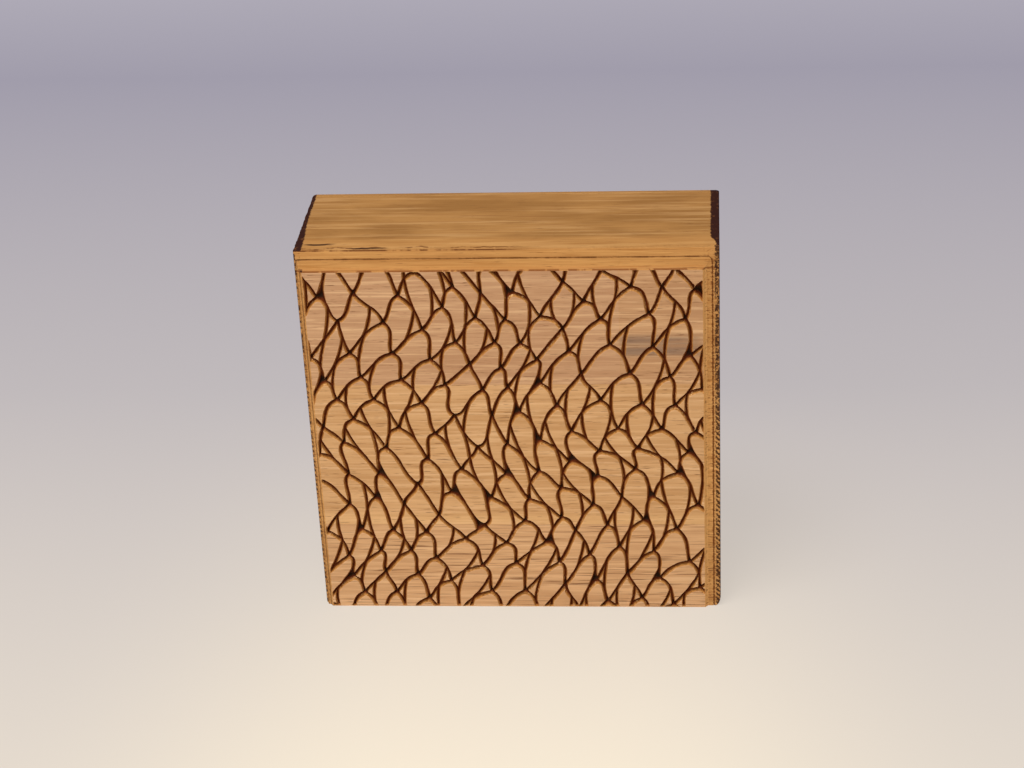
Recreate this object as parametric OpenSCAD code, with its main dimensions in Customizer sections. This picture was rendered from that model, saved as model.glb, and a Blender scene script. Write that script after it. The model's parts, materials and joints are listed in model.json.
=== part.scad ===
// Pattern-printing block of glued oak staves, with leaf-shaped lands left standing on its front face.
// All sizes in millimetres. X runs along the long edge, -Y is the carved front and +Z is up.
// The block rests on Z = 0.

/* [Block] */
// width of the block along the grain
block_width = 100; // [88:1:112]
// height of the block across the grain
block_height = 99.4; // [88:0.2:112]
// thickness from the back face to the printing face
block_depth = 33.74; // [24:0.02:50]

/* [Staves] */
// width of the lowest stave
lower_stave_width = 24.4; // [16:0.2:32]
// width of the middle stave
middle_stave_width = 39.4; // [30:0.2:46]
// length of the longer of the two top staves
upper_left_length = 76.4; // [60:0.2:82]
// thickness of the glue in every joint
glue_thickness = 0.12; // [0.08:0.02:0.3]

/* [Front face] */
// plain margin at the left of the carved field
left_margin = 1.7; // [1.4:0.1:4]
// plain margin at the right of the carved field
right_margin = 3.9; // [2.8:0.1:6]
// plain margin above the carved field
top_margin = 5.4; // [3.4:0.1:9]
// height of the printing face above the margin
land_rise = 0.8; // [0.5:0.05:1.5]
// width of the slope between the field and the margin
flank_width = 0.8; // [0.5:0.05:1]
// depth of the carved grooves below the printing face
groove_depth = 1.1; // [0.9:0.05:1.8]
// slope of the groove ends, as width over depth
end_slope = 0.8; // [0.4:0.05:1.2]

/* [Tool line] */
// distance of the scored line from the right side of the field
line_gap = 2.1; // [1.4:0.1:2.4]
// distance of the scored line from the left side of the field
line_gap_left = 1; // [0.9:0.05:1.2]
// distance of the scored line above the field
line_gap_top = 2.9; // [1.4:0.1:3]
// width of the scored line
line_width = 0.3; // [0.2:0.05:0.4]
// depth of the scored line
line_depth = 0.25; // [0.15:0.05:0.4]
// corner radius of the scored line
line_radius = 1.2; // [0.8:0.1:1.3]

/* [Edges] */
// radius of the upright edges at the back
back_radius = 1.2; // [0.6:0.1:2]
// width of the easing at the lower right corner
right_ease_width = 1.2; // [0.6:0.1:2]
// height of the easing at the lower right corner
right_ease_height = 3; // [1.5:0.1:5]
// radius of the lower left corner
left_ease = 1; // [0.5:0.1:1.3]

/* [Leaf pattern] */
// spacing of the leaves across the field
leaf_width = 8.9; // [8.5:0.1:9.8]
// rise from one row of leaf tips to the next
leaf_rise = 7.1; // [6.8:0.1:8]
// half width of a groove at the printing face
half_groove = 0.46; // [0.3:0.02:0.5]
// half width of a groove where leaf tips meet
half_groove_tip = 0.48; // [0.4:0.02:0.6]
// half width of the flat floor of a groove
half_floor = 0.08; // [0.05:0.01:0.12]
// wander of a leaf tip sideways
wander_across = 1.1; // [0.4:0.1:1.2]
// wander of a leaf tip up and down
wander_up = 0.8; // [0.4:0.1:1.2]
// sway of the rows of leaves sideways
sway_across = 3.4; // [0:0.2:3.6]
// sway of the rows of leaves up and down
sway_up = 3.2; // [0:0.2:3.4]
// half angle of a pointed leaf tip
tip_angle = 29; // [27:1:33]
// half angle of a rounded leaf end
round_angle = 70; // [62:1:74]
// share of the rounded leaf ends that have a small corner land or a pit beside them
corner_share = 0.9; // [0.05:0.05:0.95]
// smallest corner land that is left standing, in square millimetres
smallest_land = 0.7; // [0.7:0.1:3]
// starting number of the wander, each gives another layout
layout_start = 465; // [0:1:999]

/* [Hidden] */
front = -block_depth / 2;
back = block_depth / 2;
margin = front + land_rise;
floor_level = front + groove_depth;
x_left = -block_width / 2;
x_right = block_width / 2;
field_left = x_left + left_margin;
field_right = x_right - right_margin;
field_top = block_height - top_margin;
field_width = field_right - field_left;
lower_top = lower_stave_width - glue_thickness / 2;
middle_bottom = lower_stave_width + glue_thickness / 2;
middle_line = lower_stave_width + middle_stave_width;
middle_top = middle_line - glue_thickness / 2;
upper_bottom = middle_line + glue_thickness / 2;
end_line = x_left + upper_left_length;
end_joint_left = end_line - glue_thickness / 2;
end_joint_right = end_line + glue_thickness / 2;
far_out = 2 * block_width;
root = 0.15;
crest = 0.06;
columns = ceil(field_width / leaf_width);
rows = ceil(field_top / leaf_rise);
upward = [0, 0.2, 0.4, 0.6, 0.8];
downward = [1, 0.8, 0.6, 0.4, 0.2];
pull = 0.38;
pit_share = 0.25;
seam_bow = 0.1;
corner_faces = [[0, 1, 5], [1, 3, 5], [1, 2, 3], [3, 4, 5]];

// Plane geometry of the pattern, in X and Z.
function unit(v) = v / norm(v);
function area(p) = 0.5 * turns(p, len(p) - 1);
function turns(p, k) = k < 0 ? 0 : cross(p[k], p[(k + 1) % len(p)]) + turns(p, k - 1);
function tri(a, b, c) = 0.5 * cross(b - a, c - a);
function noise(i, j, k) = fraction(sin((i + layout_start) * 127.1 + j * 311.7 + k * 74.7) * 43758.5453);
function fraction(v) = v - floor(v);
function odd(j) = abs(j % 2);

// The tips of the leaves sit on a staggered grid, each a little off its place.
function knot(i, j) = [
  (i + 0.5 * odd(j)) * leaf_width - field_width / 2 + (noise(i, j, 1) - 0.5) * 2 * wander_across,
  j * leaf_rise + (noise(i, j, 2) - 0.5) * 2 * wander_up
];

// Bends the whole pattern, so that the leaves lean and change their size from place to place.
function sway(p) = [
  p[0] + sway_across * sin(6 * p[1] + 310) + 1.4 * sin(7 * p[0] + 3 * p[1]),
  p[1] + sway_up * sin(5.5 * p[0] + 290) + 1.4 * sin(7 * p[1] - 4 * p[0])
];

// At a tip the leaf above (1), the leaf below (2) or neither (0) ends round.
function kind(i, j) = noise(i, j, 3) < 0.12 ? 0 : noise(i, j, 8) < 0.06 ? 1 : 2;
function lean(i, j, up) = up ? (noise(i, j, 4) - 0.5) * 16 : (noise(i, j, 5) - 0.5) * 12;
function blunt(i, j, up) = up ? kind(i, j) == 1 : kind(i, j) == 2;
function spread(i, j, up) = (blunt(i, j, up) ? round_angle : tip_angle)
  + (noise(i, j, up ? 6 : 7) - 0.5) * 12;
function leave(i, j, up, right) = turned(
  spread(i, j, up) * (right ? 1 : -1), up ? 1 : -1, lean(i, j, up)
);
function turned(s, rise, a) = [
  sin(s) * cos(a) + rise * cos(s) * sin(a),
  -sin(s) * sin(a) + rise * cos(s) * cos(a)
];

// A strand is the middle line of one groove, from a tip to the next tip above it.
function far(i, j, right) = [right ? i + odd(j) : i - 1 + odd(j), j + 1];
function strand(i, j, right, s) = let (n = far(i, j, right)) sway(bezier(
  knot(i, j), leave(i, j, true, right), knot(n[0], n[1]), leave(n[0], n[1], false, !right), s
));
function bezier(a, ta, b, tb, s) = let (reach = norm(b - a) * pull, q = 1 - s)
  q * q * q * a + 3 * q * q * s * (a + ta * reach) + 3 * q * s * s * (b + tb * reach) + s * s * s * b;
function along(i, j, right, places) = [for (s = places) strand(i, j, right, s)];
function seam(a, b, k) = (a + b) / 2 + (k - (a + b) / 2) * seam_bow;

// A corner is a piece cut from the side of a leaf next to a rounded end.
// It is a small land, or a pit where a land would be too small.
function has_corner(i, j, side) = kind(i, j) != 0 && noise(i, j, 20 + side) <= corner_share
  && (corner_stands(i, j, side) || noise(i, j, 22 + side) < pit_share);
function corner_reach(i, j, side) = corner_stands(i, j, side) ? 1 / 2 : 1 / 3;
function corner_ring(i, j, side, c) = let (
  up = along(i, j, side == 1, [0, 0.4 * c, c]),
  dn = along(side == 1 ? i + odd(j) : i - 1 + odd(j), j - 1, side == 0, [1 - c, 1 - 0.4 * c]),
  m = seam(up[2], dn[0], sway(knot(i, j)))
) side == 0 ? [up[0], up[1], up[2], m, dn[0], dn[1]] : [up[0], dn[1], dn[0], m, up[2], up[1]];
function corner_stands(i, j, side) = let (
  ring = corner_ring(i, j, side, 1 / 2),
  q = inset(ring, [for (p = ring) half_groove])
) area(q) > smallest_land && min([for (t = corner_faces) tri(q[t[0]], q[t[1]], q[t[2]])]) > 0.02;

// The outline of the leaf whose lower tip is at (i, j), counter-clockwise as seen from the front.
function leaf_ring(i, j) = let (
  R = far(i, j, true),
  L = far(i, j, false),
  cut_right = has_corner(R[0], R[1], 0),
  cut_left = has_corner(L[0], L[1], 1),
  r = corner_reach(R[0], R[1], 0),
  l = corner_reach(L[0], L[1], 1),
  a = along(i, j, true, cut_right ? [0, (1 - r) / 2, 1 - r] : upward),
  b = along(R[0], R[1], false, cut_right ? [r, (1 + r) / 2] : upward),
  c = along(L[0], L[1], true, cut_left ? [1, (1 + l) / 2, l] : downward),
  d = along(i, j, false, cut_left ? [1 - l, (1 - l) / 2] : downward),
  right_seam = cut_right ? [seam(a[2], b[0], sway(knot(R[0], R[1])))] : [],
  left_seam = cut_left ? [seam(c[2], d[0], sway(knot(L[0], L[1])))] : []
) concat(a, right_seam, b, c, left_seam, d);
function leaf_tips(i, j) = let (
  R = far(i, j, true),
  L = far(i, j, false),
  side = len(upward),
  top = has_corner(R[0], R[1], 0) ? 6 : 2 * side
) concat(
  [0, top],
  has_corner(R[0], R[1], 0) ? [] : [side],
  has_corner(L[0], L[1], 1) ? [] : [top + side]
);

// Moves every point of a ring inwards by its own distance, with the corners limited.
function inset(p, h) = let (n = len(p)) [for (k = [0 : n - 1]) let (
  u = unit(p[k] - p[(k + n - 1) % n]),
  v = unit(p[(k + 1) % n] - p[k]),
  m = [-u[1] - v[1], u[0] + v[0]],
  q = max(1 + u * v, 0.28)
) p[k] + m * h[k] / q];

// Fills a leaf outline with triangles that step up between its two sides.
function ladder(p, top, r = 1, l = 1) = let (n = len(p), left = n - top)
  r == 1 && l == 1 ? concat([[0, 1, n - 1]], rungs(p, top, n, left, 1, 1)) : rungs(p, top, n, left, r, l);
function rungs(p, top, n, left, r, l) =
  r == top - 1 && l == left - 1 ? [[top - 1, top, top + 1]] :
  goes_right(p, top, n, left, r, l) ? concat([[r, r + 1, n - l]], rungs(p, top, n, left, r + 1, l)) :
  concat([[r, n - l - 1, n - l]], rungs(p, top, n, left, r, l + 1));
function goes_right(p, top, n, left, r, l) = let (m = n - l) r < top - 1 && (l == left - 1
  || cost(p[r], p[r + 1], p[m], p[r + 1] - p[m]) < cost(p[r], p[m - 1], p[m], p[m - 1] - p[r]));
function cost(a, b, c, d) = norm(d) + (tri(a, b, c) < 0.02 ? 100 : 0);
function sound(p, faces) = min([for (t = faces) tri(p[t[0]], p[t[1]], p[t[2]])]) > 0.003;

// A land stands from just under the groove floor up to the printing face.
module land(ring, tops, faces) {
  upper = inset(ring, tops);
  lower = inset(ring, [for (p = ring) half_floor]);
  n = len(ring);
  points = concat(
    [for (p = upper) [p[0], front, p[1]]],
    [for (p = lower) [p[0], floor_level + root, p[1]]]
  );
  sides = [for (k = [0 : n - 1]) let (m = (k + 1) % n) each [[k, m, n + m], [k, n + m, n + k]]];
  caps = [for (t = faces) each [[t[0], t[2], t[1]], [n + t[0], n + t[1], n + t[2]]]];
  if (sound(upper, faces) && sound(lower, faces)) polyhedron(points = points, faces = concat(sides, caps));
}

module leaf(i, j) {
  ring = leaf_ring(i, j);
  tips = leaf_tips(i, j);
  tops = [for (k = [0 : len(ring) - 1]) len(search(k, tips)) > 0 ? half_groove_tip : half_groove];
  land(ring, tops, ladder(inset(ring, tops), tips[1]));
}

module corner_land(i, j, side) {
  ring = corner_ring(i, j, side, 1 / 2);
  land(ring, [for (p = ring) half_groove], corner_faces);
}

function reaches(p, x0, x1, z0, z1) =
  max([for (q = p) q[0]]) - 0.6 > x0 && min([for (q = p) q[0]]) + 0.6 < x1
  && max([for (q = p) q[1]]) - 0.6 > z0 && min([for (q = p) q[1]]) + 0.6 < z1;

// The lands that reach into one stave, cut off flush at its joints.
module lands(x0, x1, z0, z1) {
  intersection() {
    union() {
      for (j = [-3 : rows + 2], i = [-2 : columns + 2])
        if (reaches(leaf_ring(i, j), x0, x1, z0, z1)) leaf(i, j);
      for (j = [-2 : rows + 3], i = [-2 : columns + 2], side = [0, 1])
        if (has_corner(i, j, side) && corner_stands(i, j, side)
          && reaches(corner_ring(i, j, side, 1 / 2), x0, x1, z0, z1)) corner_land(i, j, side);
    }
    translate([x0, front - 1, z0]) cube([x1 - x0, groove_depth + 3, z1 - z0]);
  }
}

// The front outline of the whole block, with its eased lower corners.
module front_outline() {
  difference() {
    translate([x_left, 0]) square([block_width, block_height]);
    difference() {
      translate([x_left - 1, -1]) square([left_ease + 1, left_ease + 1]);
      translate([x_left + left_ease, left_ease]) circle(r = left_ease, $fn = 32);
    }
    difference() {
      translate([x_right - right_ease_width, -1]) square([right_ease_width + 1, right_ease_height + 1]);
      translate([x_right - right_ease_width, right_ease_height]) scale([right_ease_width, right_ease_height])
        circle(r = 1, $fn = 40);
    }
  }
}

// The plan outline of the block, with its rounded back edges.
module plan_outline() {
  hull() {
    translate([x_left, margin]) square([block_width, 1]);
    translate([x_left + back_radius, back - back_radius]) circle(r = back_radius, $fn = 32);
    translate([x_right - back_radius, back - back_radius]) circle(r = back_radius, $fn = 32);
  }
}

// Turns a drawing in X and Z into a solid between two depths.
module across(y0, y1) {
  translate([0, y1, 0]) rotate([90, 0, 0]) linear_extrude(height = y1 - y0) children();
}

// The part of the block between two joints, without its relief.
module slice(x0, x1, z0, z1) {
  intersection() {
    across(margin, back) intersection() {
      front_outline();
      translate([x0, z0]) square([x1 - x0, z1 - z0]);
    }
    linear_extrude(height = block_height) plan_outline();
  }
}

// The raised field as a plain block with sloping flanks, before the grooves are cut.
module raised_field() {
  intersection() {
    linear_extrude(height = block_height) polygon([
      [field_left, front], [field_right, front],
      [field_right + flank_width, margin], [field_right + flank_width, margin + root],
      [field_left - flank_width, margin + root], [field_left - flank_width, margin]
    ]);
    rotate([90, 0, 90]) translate([0, 0, x_left]) linear_extrude(height = block_width) polygon([
      [front, 0], [front, field_top], [margin, field_top + flank_width],
      [margin + root, field_top + flank_width], [margin + root, 0]
    ]);
  }
}

// The pocket that the grooves reach down to, with sloping ends at the left, top and right.
module groove_pocket() {
  run = groove_depth * end_slope;
  intersection() {
    translate([0, 0, -1]) linear_extrude(height = block_height + 1) polygon([
      [field_left + crest - end_slope, front - 1], [field_right - crest + end_slope, front - 1],
      [field_right - crest - run, floor_level], [field_left + crest + run, floor_level]
    ]);
    rotate([90, 0, 90]) translate([0, 0, x_left]) linear_extrude(height = block_width) polygon([
      [front - 1, -1], [front - 1, field_top - crest + end_slope],
      [floor_level, field_top - crest - run], [floor_level, -1]
    ]);
  }
}

// The thin line scored round the field on the margin.
module tool_line() {
  across(margin - 1, margin + line_depth) difference() {
    line_shape(line_width);
    line_shape(0);
  }
}
module line_shape(w) {
  l = field_left - line_gap_left - w;
  r = field_right + line_gap + w;
  t = field_top + line_gap_top + w;
  c = line_radius + w;
  translate([l, -1]) square([r - l, t - c + 1]);
  translate([l, t - c - 0.01]) square([r - l - c, c + 0.01]);
  translate([r - c, t - c]) circle(r = c, $fn = 48);
}

// One stave: its slice of the block, its part of the raised field, and the lands standing in the pocket.
module stave(x0, x1, z0, z1) {
  difference() {
    union() {
      slice(x0, x1, z0, z1);
      intersection() {
        raised_field();
        translate([x0, front - 1, z0]) cube([x1 - x0, land_rise + root + 1, z1 - z0]);
      }
    }
    tool_line();
    groove_pocket();
  }
  lands(max(x0, field_left), min(x1, field_right), z0, min(z1, field_top));
}

// A film of glue fills its joint and is carved together with the wood on both sides of it.
module glue_film(x0, x1, z0, z1) {
  stave(x0, x1, z0, z1);
}

module lower_stave() {
  color([0.76, 0.57, 0.4]) stave(x_left, x_right, 0, lower_top);
}
module lower_glue_line() {
  color([0.45, 0.3, 0.17]) glue_film(x_left, x_right, lower_top, middle_bottom);
}
module middle_stave() {
  color([0.8, 0.61, 0.41]) stave(x_left, x_right, middle_bottom, middle_top);
}
module upper_glue_line() {
  color([0.45, 0.3, 0.17]) glue_film(x_left, x_right, middle_top, upper_bottom);
}
module upper_left_stave() {
  color([0.75, 0.57, 0.41]) stave(x_left, end_joint_left, upper_bottom, block_height);
}
module end_joint_glue() {
  color([0.45, 0.3, 0.17]) glue_film(end_joint_left, end_joint_right, upper_bottom, block_height);
}
module upper_right_stave() {
  color([0.74, 0.55, 0.4]) stave(end_joint_right, x_right, upper_bottom, block_height);
}

lower_stave();
lower_glue_line();
middle_stave();
upper_glue_line();
upper_left_stave();
end_joint_glue();
upper_right_stave();
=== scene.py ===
"""Looks of the carved oak printing block.

Finely carved staves stand for the plain ones of the frame, and materials, floor, light and camera are added.
The shapes are made in millimetres, X along the grain, with the carved front towards -Y and Z up.
"""

import functools
import json
import math

import bmesh
import bpy
from mathutils import Matrix, Vector
from mathutils.noise import fractal, noise as field_noise


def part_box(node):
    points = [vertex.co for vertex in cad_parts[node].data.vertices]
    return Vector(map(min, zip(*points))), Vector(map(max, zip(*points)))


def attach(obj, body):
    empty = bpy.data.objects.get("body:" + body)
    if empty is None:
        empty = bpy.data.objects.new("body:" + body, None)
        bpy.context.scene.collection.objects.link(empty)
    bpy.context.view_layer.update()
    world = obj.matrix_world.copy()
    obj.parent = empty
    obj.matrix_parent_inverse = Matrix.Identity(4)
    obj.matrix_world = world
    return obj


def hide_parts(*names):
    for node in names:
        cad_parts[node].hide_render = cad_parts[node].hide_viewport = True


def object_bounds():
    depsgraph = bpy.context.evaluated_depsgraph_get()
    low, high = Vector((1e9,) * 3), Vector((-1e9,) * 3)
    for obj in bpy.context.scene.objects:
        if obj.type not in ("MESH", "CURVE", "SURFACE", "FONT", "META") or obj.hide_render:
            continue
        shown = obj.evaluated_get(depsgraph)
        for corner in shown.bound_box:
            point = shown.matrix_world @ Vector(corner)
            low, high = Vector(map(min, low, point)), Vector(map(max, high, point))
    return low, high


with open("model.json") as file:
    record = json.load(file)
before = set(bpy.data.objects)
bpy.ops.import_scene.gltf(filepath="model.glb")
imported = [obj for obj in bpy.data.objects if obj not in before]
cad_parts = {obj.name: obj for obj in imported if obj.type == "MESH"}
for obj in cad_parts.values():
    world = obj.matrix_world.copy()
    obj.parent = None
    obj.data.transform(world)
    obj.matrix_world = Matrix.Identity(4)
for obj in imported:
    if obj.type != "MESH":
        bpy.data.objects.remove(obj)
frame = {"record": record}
cad_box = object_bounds()

MM = 0.001

# Sizes of the block, from the frame and from the layout of its front face
low, high = [v / MM for v in cad_box[0]], [v / MM for v in cad_box[1]]
X_LEFT, X_RIGHT = low[0], high[0]
FRONT, BACK = low[1], high[1]
HEIGHT = high[2]
LAND_RISE = 0.8
MARGIN = FRONT + LAND_RISE
LEFT_MARGIN, RIGHT_MARGIN, TOP_MARGIN = 1.7, 3.9, 5.4
FIELD_LEFT, FIELD_RIGHT = X_LEFT + LEFT_MARGIN, X_RIGHT - RIGHT_MARGIN
FIELD_TOP = HEIGHT - TOP_MARGIN
FIELD_WIDTH = FIELD_RIGHT - FIELD_LEFT
FLANK = 0.8
LINE_GAP_LEFT, LINE_GAP_TOP, LINE_GAP_RIGHT = 1.0, 2.9, 2.1
LINE_WIDTH, LINE_DEPTH, LINE_RADIUS = 0.3, 0.25, 1.2
LEFT_LINE_SHARE = 0.35
ARRIS_DEPTH = 0.4
BACK_RADIUS = 1.2
BACK_TOP_EASE = 0.12
RIGHT_EASE = (1.2, 3.0)
LEFT_EASE = (1.0, 1.0)

# The layout of the leaf pattern
LEAF_WIDTH, LEAF_RISE = 8.9, 7.1
WANDER_ACROSS, WANDER_UP = 1.1, 0.8
SWAY_ACROSS, SWAY_UP, SMALL_SWAY = 3.4, 3.2, 1.4
TIP_ANGLE, ROUND_ANGLE, ANGLE_WANDER = 29.0, 70.0, 12.0
LEAN_ABOVE, LEAN_BELOW = 16.0, 12.0
PULL = 0.38
NEITHER_SHARE, ABOVE_SHARE = 0.12, 0.06
CORNER_SHARE = 0.9
PIT_SHARE = 0.25
SMALLEST_LAND, SMALLEST_FACE = 0.7, 0.02
LAND_REACH, PIT_REACH = 1 / 2, 1 / 3
EARLY = 0.4
SEAM_BOW = 0.1
CORNER_FACES = ((0, 1, 5), (1, 3, 5), (1, 2, 3), (3, 4, 5))
STRAND_STEPS = 12
SEAM_STEPS = 8
SHARPEST_TURN = 0.28
LEFT, RIGHT = 0, 1
COLUMN_COUNT, ROW_COUNT = math.ceil(FIELD_WIDTH / LEAF_WIDTH), math.ceil(FIELD_TOP / LEAF_RISE)
COLUMNS = range(-2, COLUMN_COUNT + 3)
LEAF_ROWS, CORNER_ROWS = range(-3, ROW_COUNT + 3), range(-2, ROW_COUNT + 4)

# Numbers that tell the chance draws of one leaf tip apart, and the formula behind the draws
LAYOUT_START = 465
DRAW_STEPS, DRAW_SCALE = (127.1, 311.7, 74.7), 43758.5453
DRAW_ACROSS, DRAW_UP, DRAW_KIND, DRAW_LEAN_ABOVE, DRAW_LEAN_BELOW = 1, 2, 3, 4, 5
DRAW_SPREAD_ABOVE, DRAW_SPREAD_BELOW, DRAW_ABOVE = 6, 7, 8
DRAW_CORNER, DRAW_PIT = 20, 22

# Widths and depths of the grooves
HALF_GROOVE, HALF_GROOVE_TIP = 0.46, 0.48
HALF_FLOOR = 0.08
LEAF_WIDENING, CORNER_WIDENING = 0.1, 0.02
LEAF_SHOULDER, CORNER_SHOULDER = 0.34, 0.08
TIP_SPREAD, PIT_SPREAD = 0.7, 0.9
GROOVE_DEPTH = 1.1
PIT_DEPTH = 0.45
SUNK_DEPTH = 1.85
FLOOR_HOLLOW = 0.03
BEND_PLACE, BEND_PLACE_UPPER, BEND_DEPTH = 0.55, 0.1, 0.5
RIM_INSET, RIM_INSET_UPPER = 0.04, 0.7
RIM_DEPTH, RIM_DEPTH_UPPER = 0.07, 0.1
END_LENGTH = 0.3

# Unevenness of the carving: strength, size and seed of the noise
GROOVE_NOISE = (0.16, 1.9, 3)
FLOOR_NOISE = (0.08, 0.8, 7)
BEND_NOISE = (0.18, 0.35, 11)

# Finest measures of the mesh work
SAME_POINT = 1e-7
CUT_REACH = 1e-5
WELD = 2e-4
PARALLEL = 1e-12
AT_BORDER = 1e-3
AT_FRONT = 1e-3
AT_FACE = 0.02
NO_DEPTH_SHARE = 3e-3
LONGEST_BORDER_EDGE = 0.7
CLOSE_POINTS = 1e-3
SMALLEST_FLAP = 1e-4
RIM_ANGLE, CREASE_ANGLE = 2, 32


def sind(a):
    return math.sin(math.radians(a))


def cosd(a):
    return math.cos(math.radians(a))


def chance(i, j, k):
    """Draw number k of the tip (i, j), from 0 to 1."""
    a, b, c = DRAW_STEPS
    v = sind((i + LAYOUT_START) * a + j * b + k * c) * DRAW_SCALE
    return v - math.floor(v)


def knot(i, j):
    """Place of a leaf tip on a staggered grid, a little off its place."""
    across, up = chance(i, j, DRAW_ACROSS) - 0.5, chance(i, j, DRAW_UP) - 0.5
    x = (i + 0.5 * (j % 2)) * LEAF_WIDTH - FIELD_WIDTH / 2 + across * 2 * WANDER_ACROSS
    return Vector((x, j * LEAF_RISE + up * 2 * WANDER_UP))


def sway(p):
    """Bends the whole pattern in slow waves, so that the leaves lean and change their size."""
    slow_across, slow_up = sind(6 * p.y + 310), sind(5.5 * p.x + 290)
    small_across, small_up = sind(7 * p.x + 3 * p.y), sind(7 * p.y - 4 * p.x)
    return Vector((
        p.x + SWAY_ACROSS * slow_across + SMALL_SWAY * small_across,
        p.y + SWAY_UP * slow_up + SMALL_SWAY * small_up,
    ))


def kind(i, j):
    """At a tip the leaf above (1), the leaf below (2) or neither (0) ends round."""
    if chance(i, j, DRAW_KIND) < NEITHER_SHARE:
        return 0
    return 1 if chance(i, j, DRAW_ABOVE) < ABOVE_SHARE else 2


def leave(i, j, up, right):
    """Direction in which a groove leaves a tip."""
    blunt = kind(i, j) == (1 if up else 2)
    wander = (chance(i, j, DRAW_SPREAD_ABOVE if up else DRAW_SPREAD_BELOW) - 0.5) * ANGLE_WANDER
    spread = (ROUND_ANGLE if blunt else TIP_ANGLE) + wander
    s = spread if right else -spread
    rise = 1 if up else -1
    lean, draw = (LEAN_ABOVE, DRAW_LEAN_ABOVE) if up else (LEAN_BELOW, DRAW_LEAN_BELOW)
    a = (chance(i, j, draw) - 0.5) * lean
    return Vector((
        sind(s) * cosd(a) + rise * cosd(s) * sind(a),
        -sind(s) * sind(a) + rise * cosd(s) * cosd(a),
    ))


def neighbour(i, j, right, rise=1):
    """The tip in the next row, above or below, to the right or the left."""
    return (i + (j % 2) if right else i - 1 + (j % 2)), j + rise


def strand(i, j, right, s):
    """A point on the middle line of the groove that runs from one tip to the next tip above it."""
    n = neighbour(i, j, right)
    a, b = knot(i, j), knot(*n)
    reach = (b - a).length * PULL
    c1 = a + leave(i, j, True, right) * reach
    c2 = b + leave(*n, False, not right) * reach
    q = 1 - s
    return sway(q * q * q * a + 3 * q * q * s * c1 + 3 * q * s * s * c2 + s * s * s * b)


def along(i, j, right, start, stop):
    """Points of a strand from start to stop, without the last one."""
    steps = round(abs(stop - start) * STRAND_STEPS)
    return [strand(i, j, right, start + (stop - start) * k / steps) for k in range(steps)]


def seam_line(a, b, tip):
    """The groove that cuts a corner land off a leaf, bowed towards the tip, without its last point."""
    bow = (tip - (a + b) / 2) * SEAM_BOW * 2
    line = []
    for n in range(SEAM_STEPS):
        s = n / SEAM_STEPS
        line.append(a * (1 - s) + b * s + bow * 2 * s * (1 - s))
    return line


def area(p):
    return 0.5 * sum(p[k - 1].x * p[k].y - p[k].x * p[k - 1].y for k in range(len(p)))


def inset(p, h):
    """Moves every point of a ring inwards by its own distance, with the corners limited."""
    out = []
    for k in range(len(p)):
        u = (p[k] - p[k - 1]).normalized()
        v = (p[(k + 1) % len(p)] - p[k]).normalized()
        q = max(1 + u.dot(v), SHARPEST_TURN)
        out.append(p[k] + Vector((-u.y - v.y, u.x + v.x)) * (h[k] / q))
    return out


def crossing(a, b, c, d):
    """The point where two stretches cross, or None."""
    u, v, w = b - a, d - c, c - a
    turn = u.x * v.y - u.y * v.x
    if abs(turn) < PARALLEL:
        return None
    s = (w.x * v.y - w.y * v.x) / turn
    t = (w.x * u.y - w.y * u.x) / turn
    return a + u * s if 0 < s < 1 and 0 < t < 1 else None


def untangled(p):
    """Draws each loop in which a ring crosses itself together to the point of the crossing."""
    n = len(p)
    p = list(p)
    for gap in range(1, n // 2):
        for k in range(n):
            a, b = p[k], p[(k + 1) % n]
            c, d = p[(k + 1 + gap) % n], p[(k + 2 + gap) % n]
            if a == b or c == d:
                continue
            x = crossing(a, b, c, d)
            if x is not None:
                for m in range(k + 1, k + 2 + gap):
                    p[m % n] = x
    return p


def corner_coarse(i, j, side):
    """Outline of the corner land beside the tip (i, j) in six points, as the solids have it."""
    b = neighbour(i, j, side == RIGHT, -1)
    up = [strand(i, j, side == RIGHT, s) for s in (0, EARLY * LAND_REACH, LAND_REACH)]
    down = [strand(*b, side == LEFT, s) for s in (1 - LAND_REACH, 1 - EARLY * LAND_REACH)]
    middle = (up[2] + down[0]) / 2
    middle += (sway(knot(i, j)) - middle) * SEAM_BOW
    ring = [*up, middle, *down]
    return ring if side == LEFT else [ring[0], *ring[:0:-1]]


@functools.cache
def corner_stands(i, j, side):
    """Whether a corner is large enough to stand as a land."""
    q = inset(corner_coarse(i, j, side), [HALF_GROOVE] * 6)
    least = min(area([q[a], q[b], q[c]]) for a, b, c in CORNER_FACES)
    return area(q) > SMALLEST_LAND and least > SMALLEST_FACE


def has_corner(i, j, side):
    if kind(i, j) == 0 or chance(i, j, DRAW_CORNER + side) > CORNER_SHARE:
        return False
    return corner_stands(i, j, side) or chance(i, j, DRAW_PIT + side) < PIT_SHARE


def corner_reach(i, j, side):
    return LAND_REACH if corner_stands(i, j, side) else PIT_REACH


def right_half(i, j):
    """Right side of the leaf above the tip (i, j), from that tip to the leaf's upper tip."""
    n = neighbour(i, j, True)
    if not has_corner(*n, LEFT):
        return along(i, j, True, 0, 1) + along(*n, False, 0, 1)
    r = corner_reach(*n, LEFT)
    seam = seam_line(strand(i, j, True, 1 - r), strand(*n, False, r), sway(knot(*n)))
    return along(i, j, True, 0, 1 - r) + seam + along(*n, False, r, 1)


def left_half(i, j):
    """Left side of the leaf above the tip (i, j), from the leaf's upper tip to that tip."""
    n = neighbour(i, j, False)
    if not has_corner(*n, RIGHT):
        return along(*n, True, 1, 0) + along(i, j, False, 1, 0)
    r = corner_reach(*n, RIGHT)
    seam = seam_line(strand(*n, True, r), strand(i, j, False, 1 - r), sway(knot(*n)))
    return along(*n, True, 1, r) + seam + along(i, j, False, 1 - r, 0)


def leaf_ring(i, j):
    """Outline of the leaf above the tip (i, j), counter-clockwise as seen from the front."""
    return right_half(i, j) + left_half(i, j)


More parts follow.
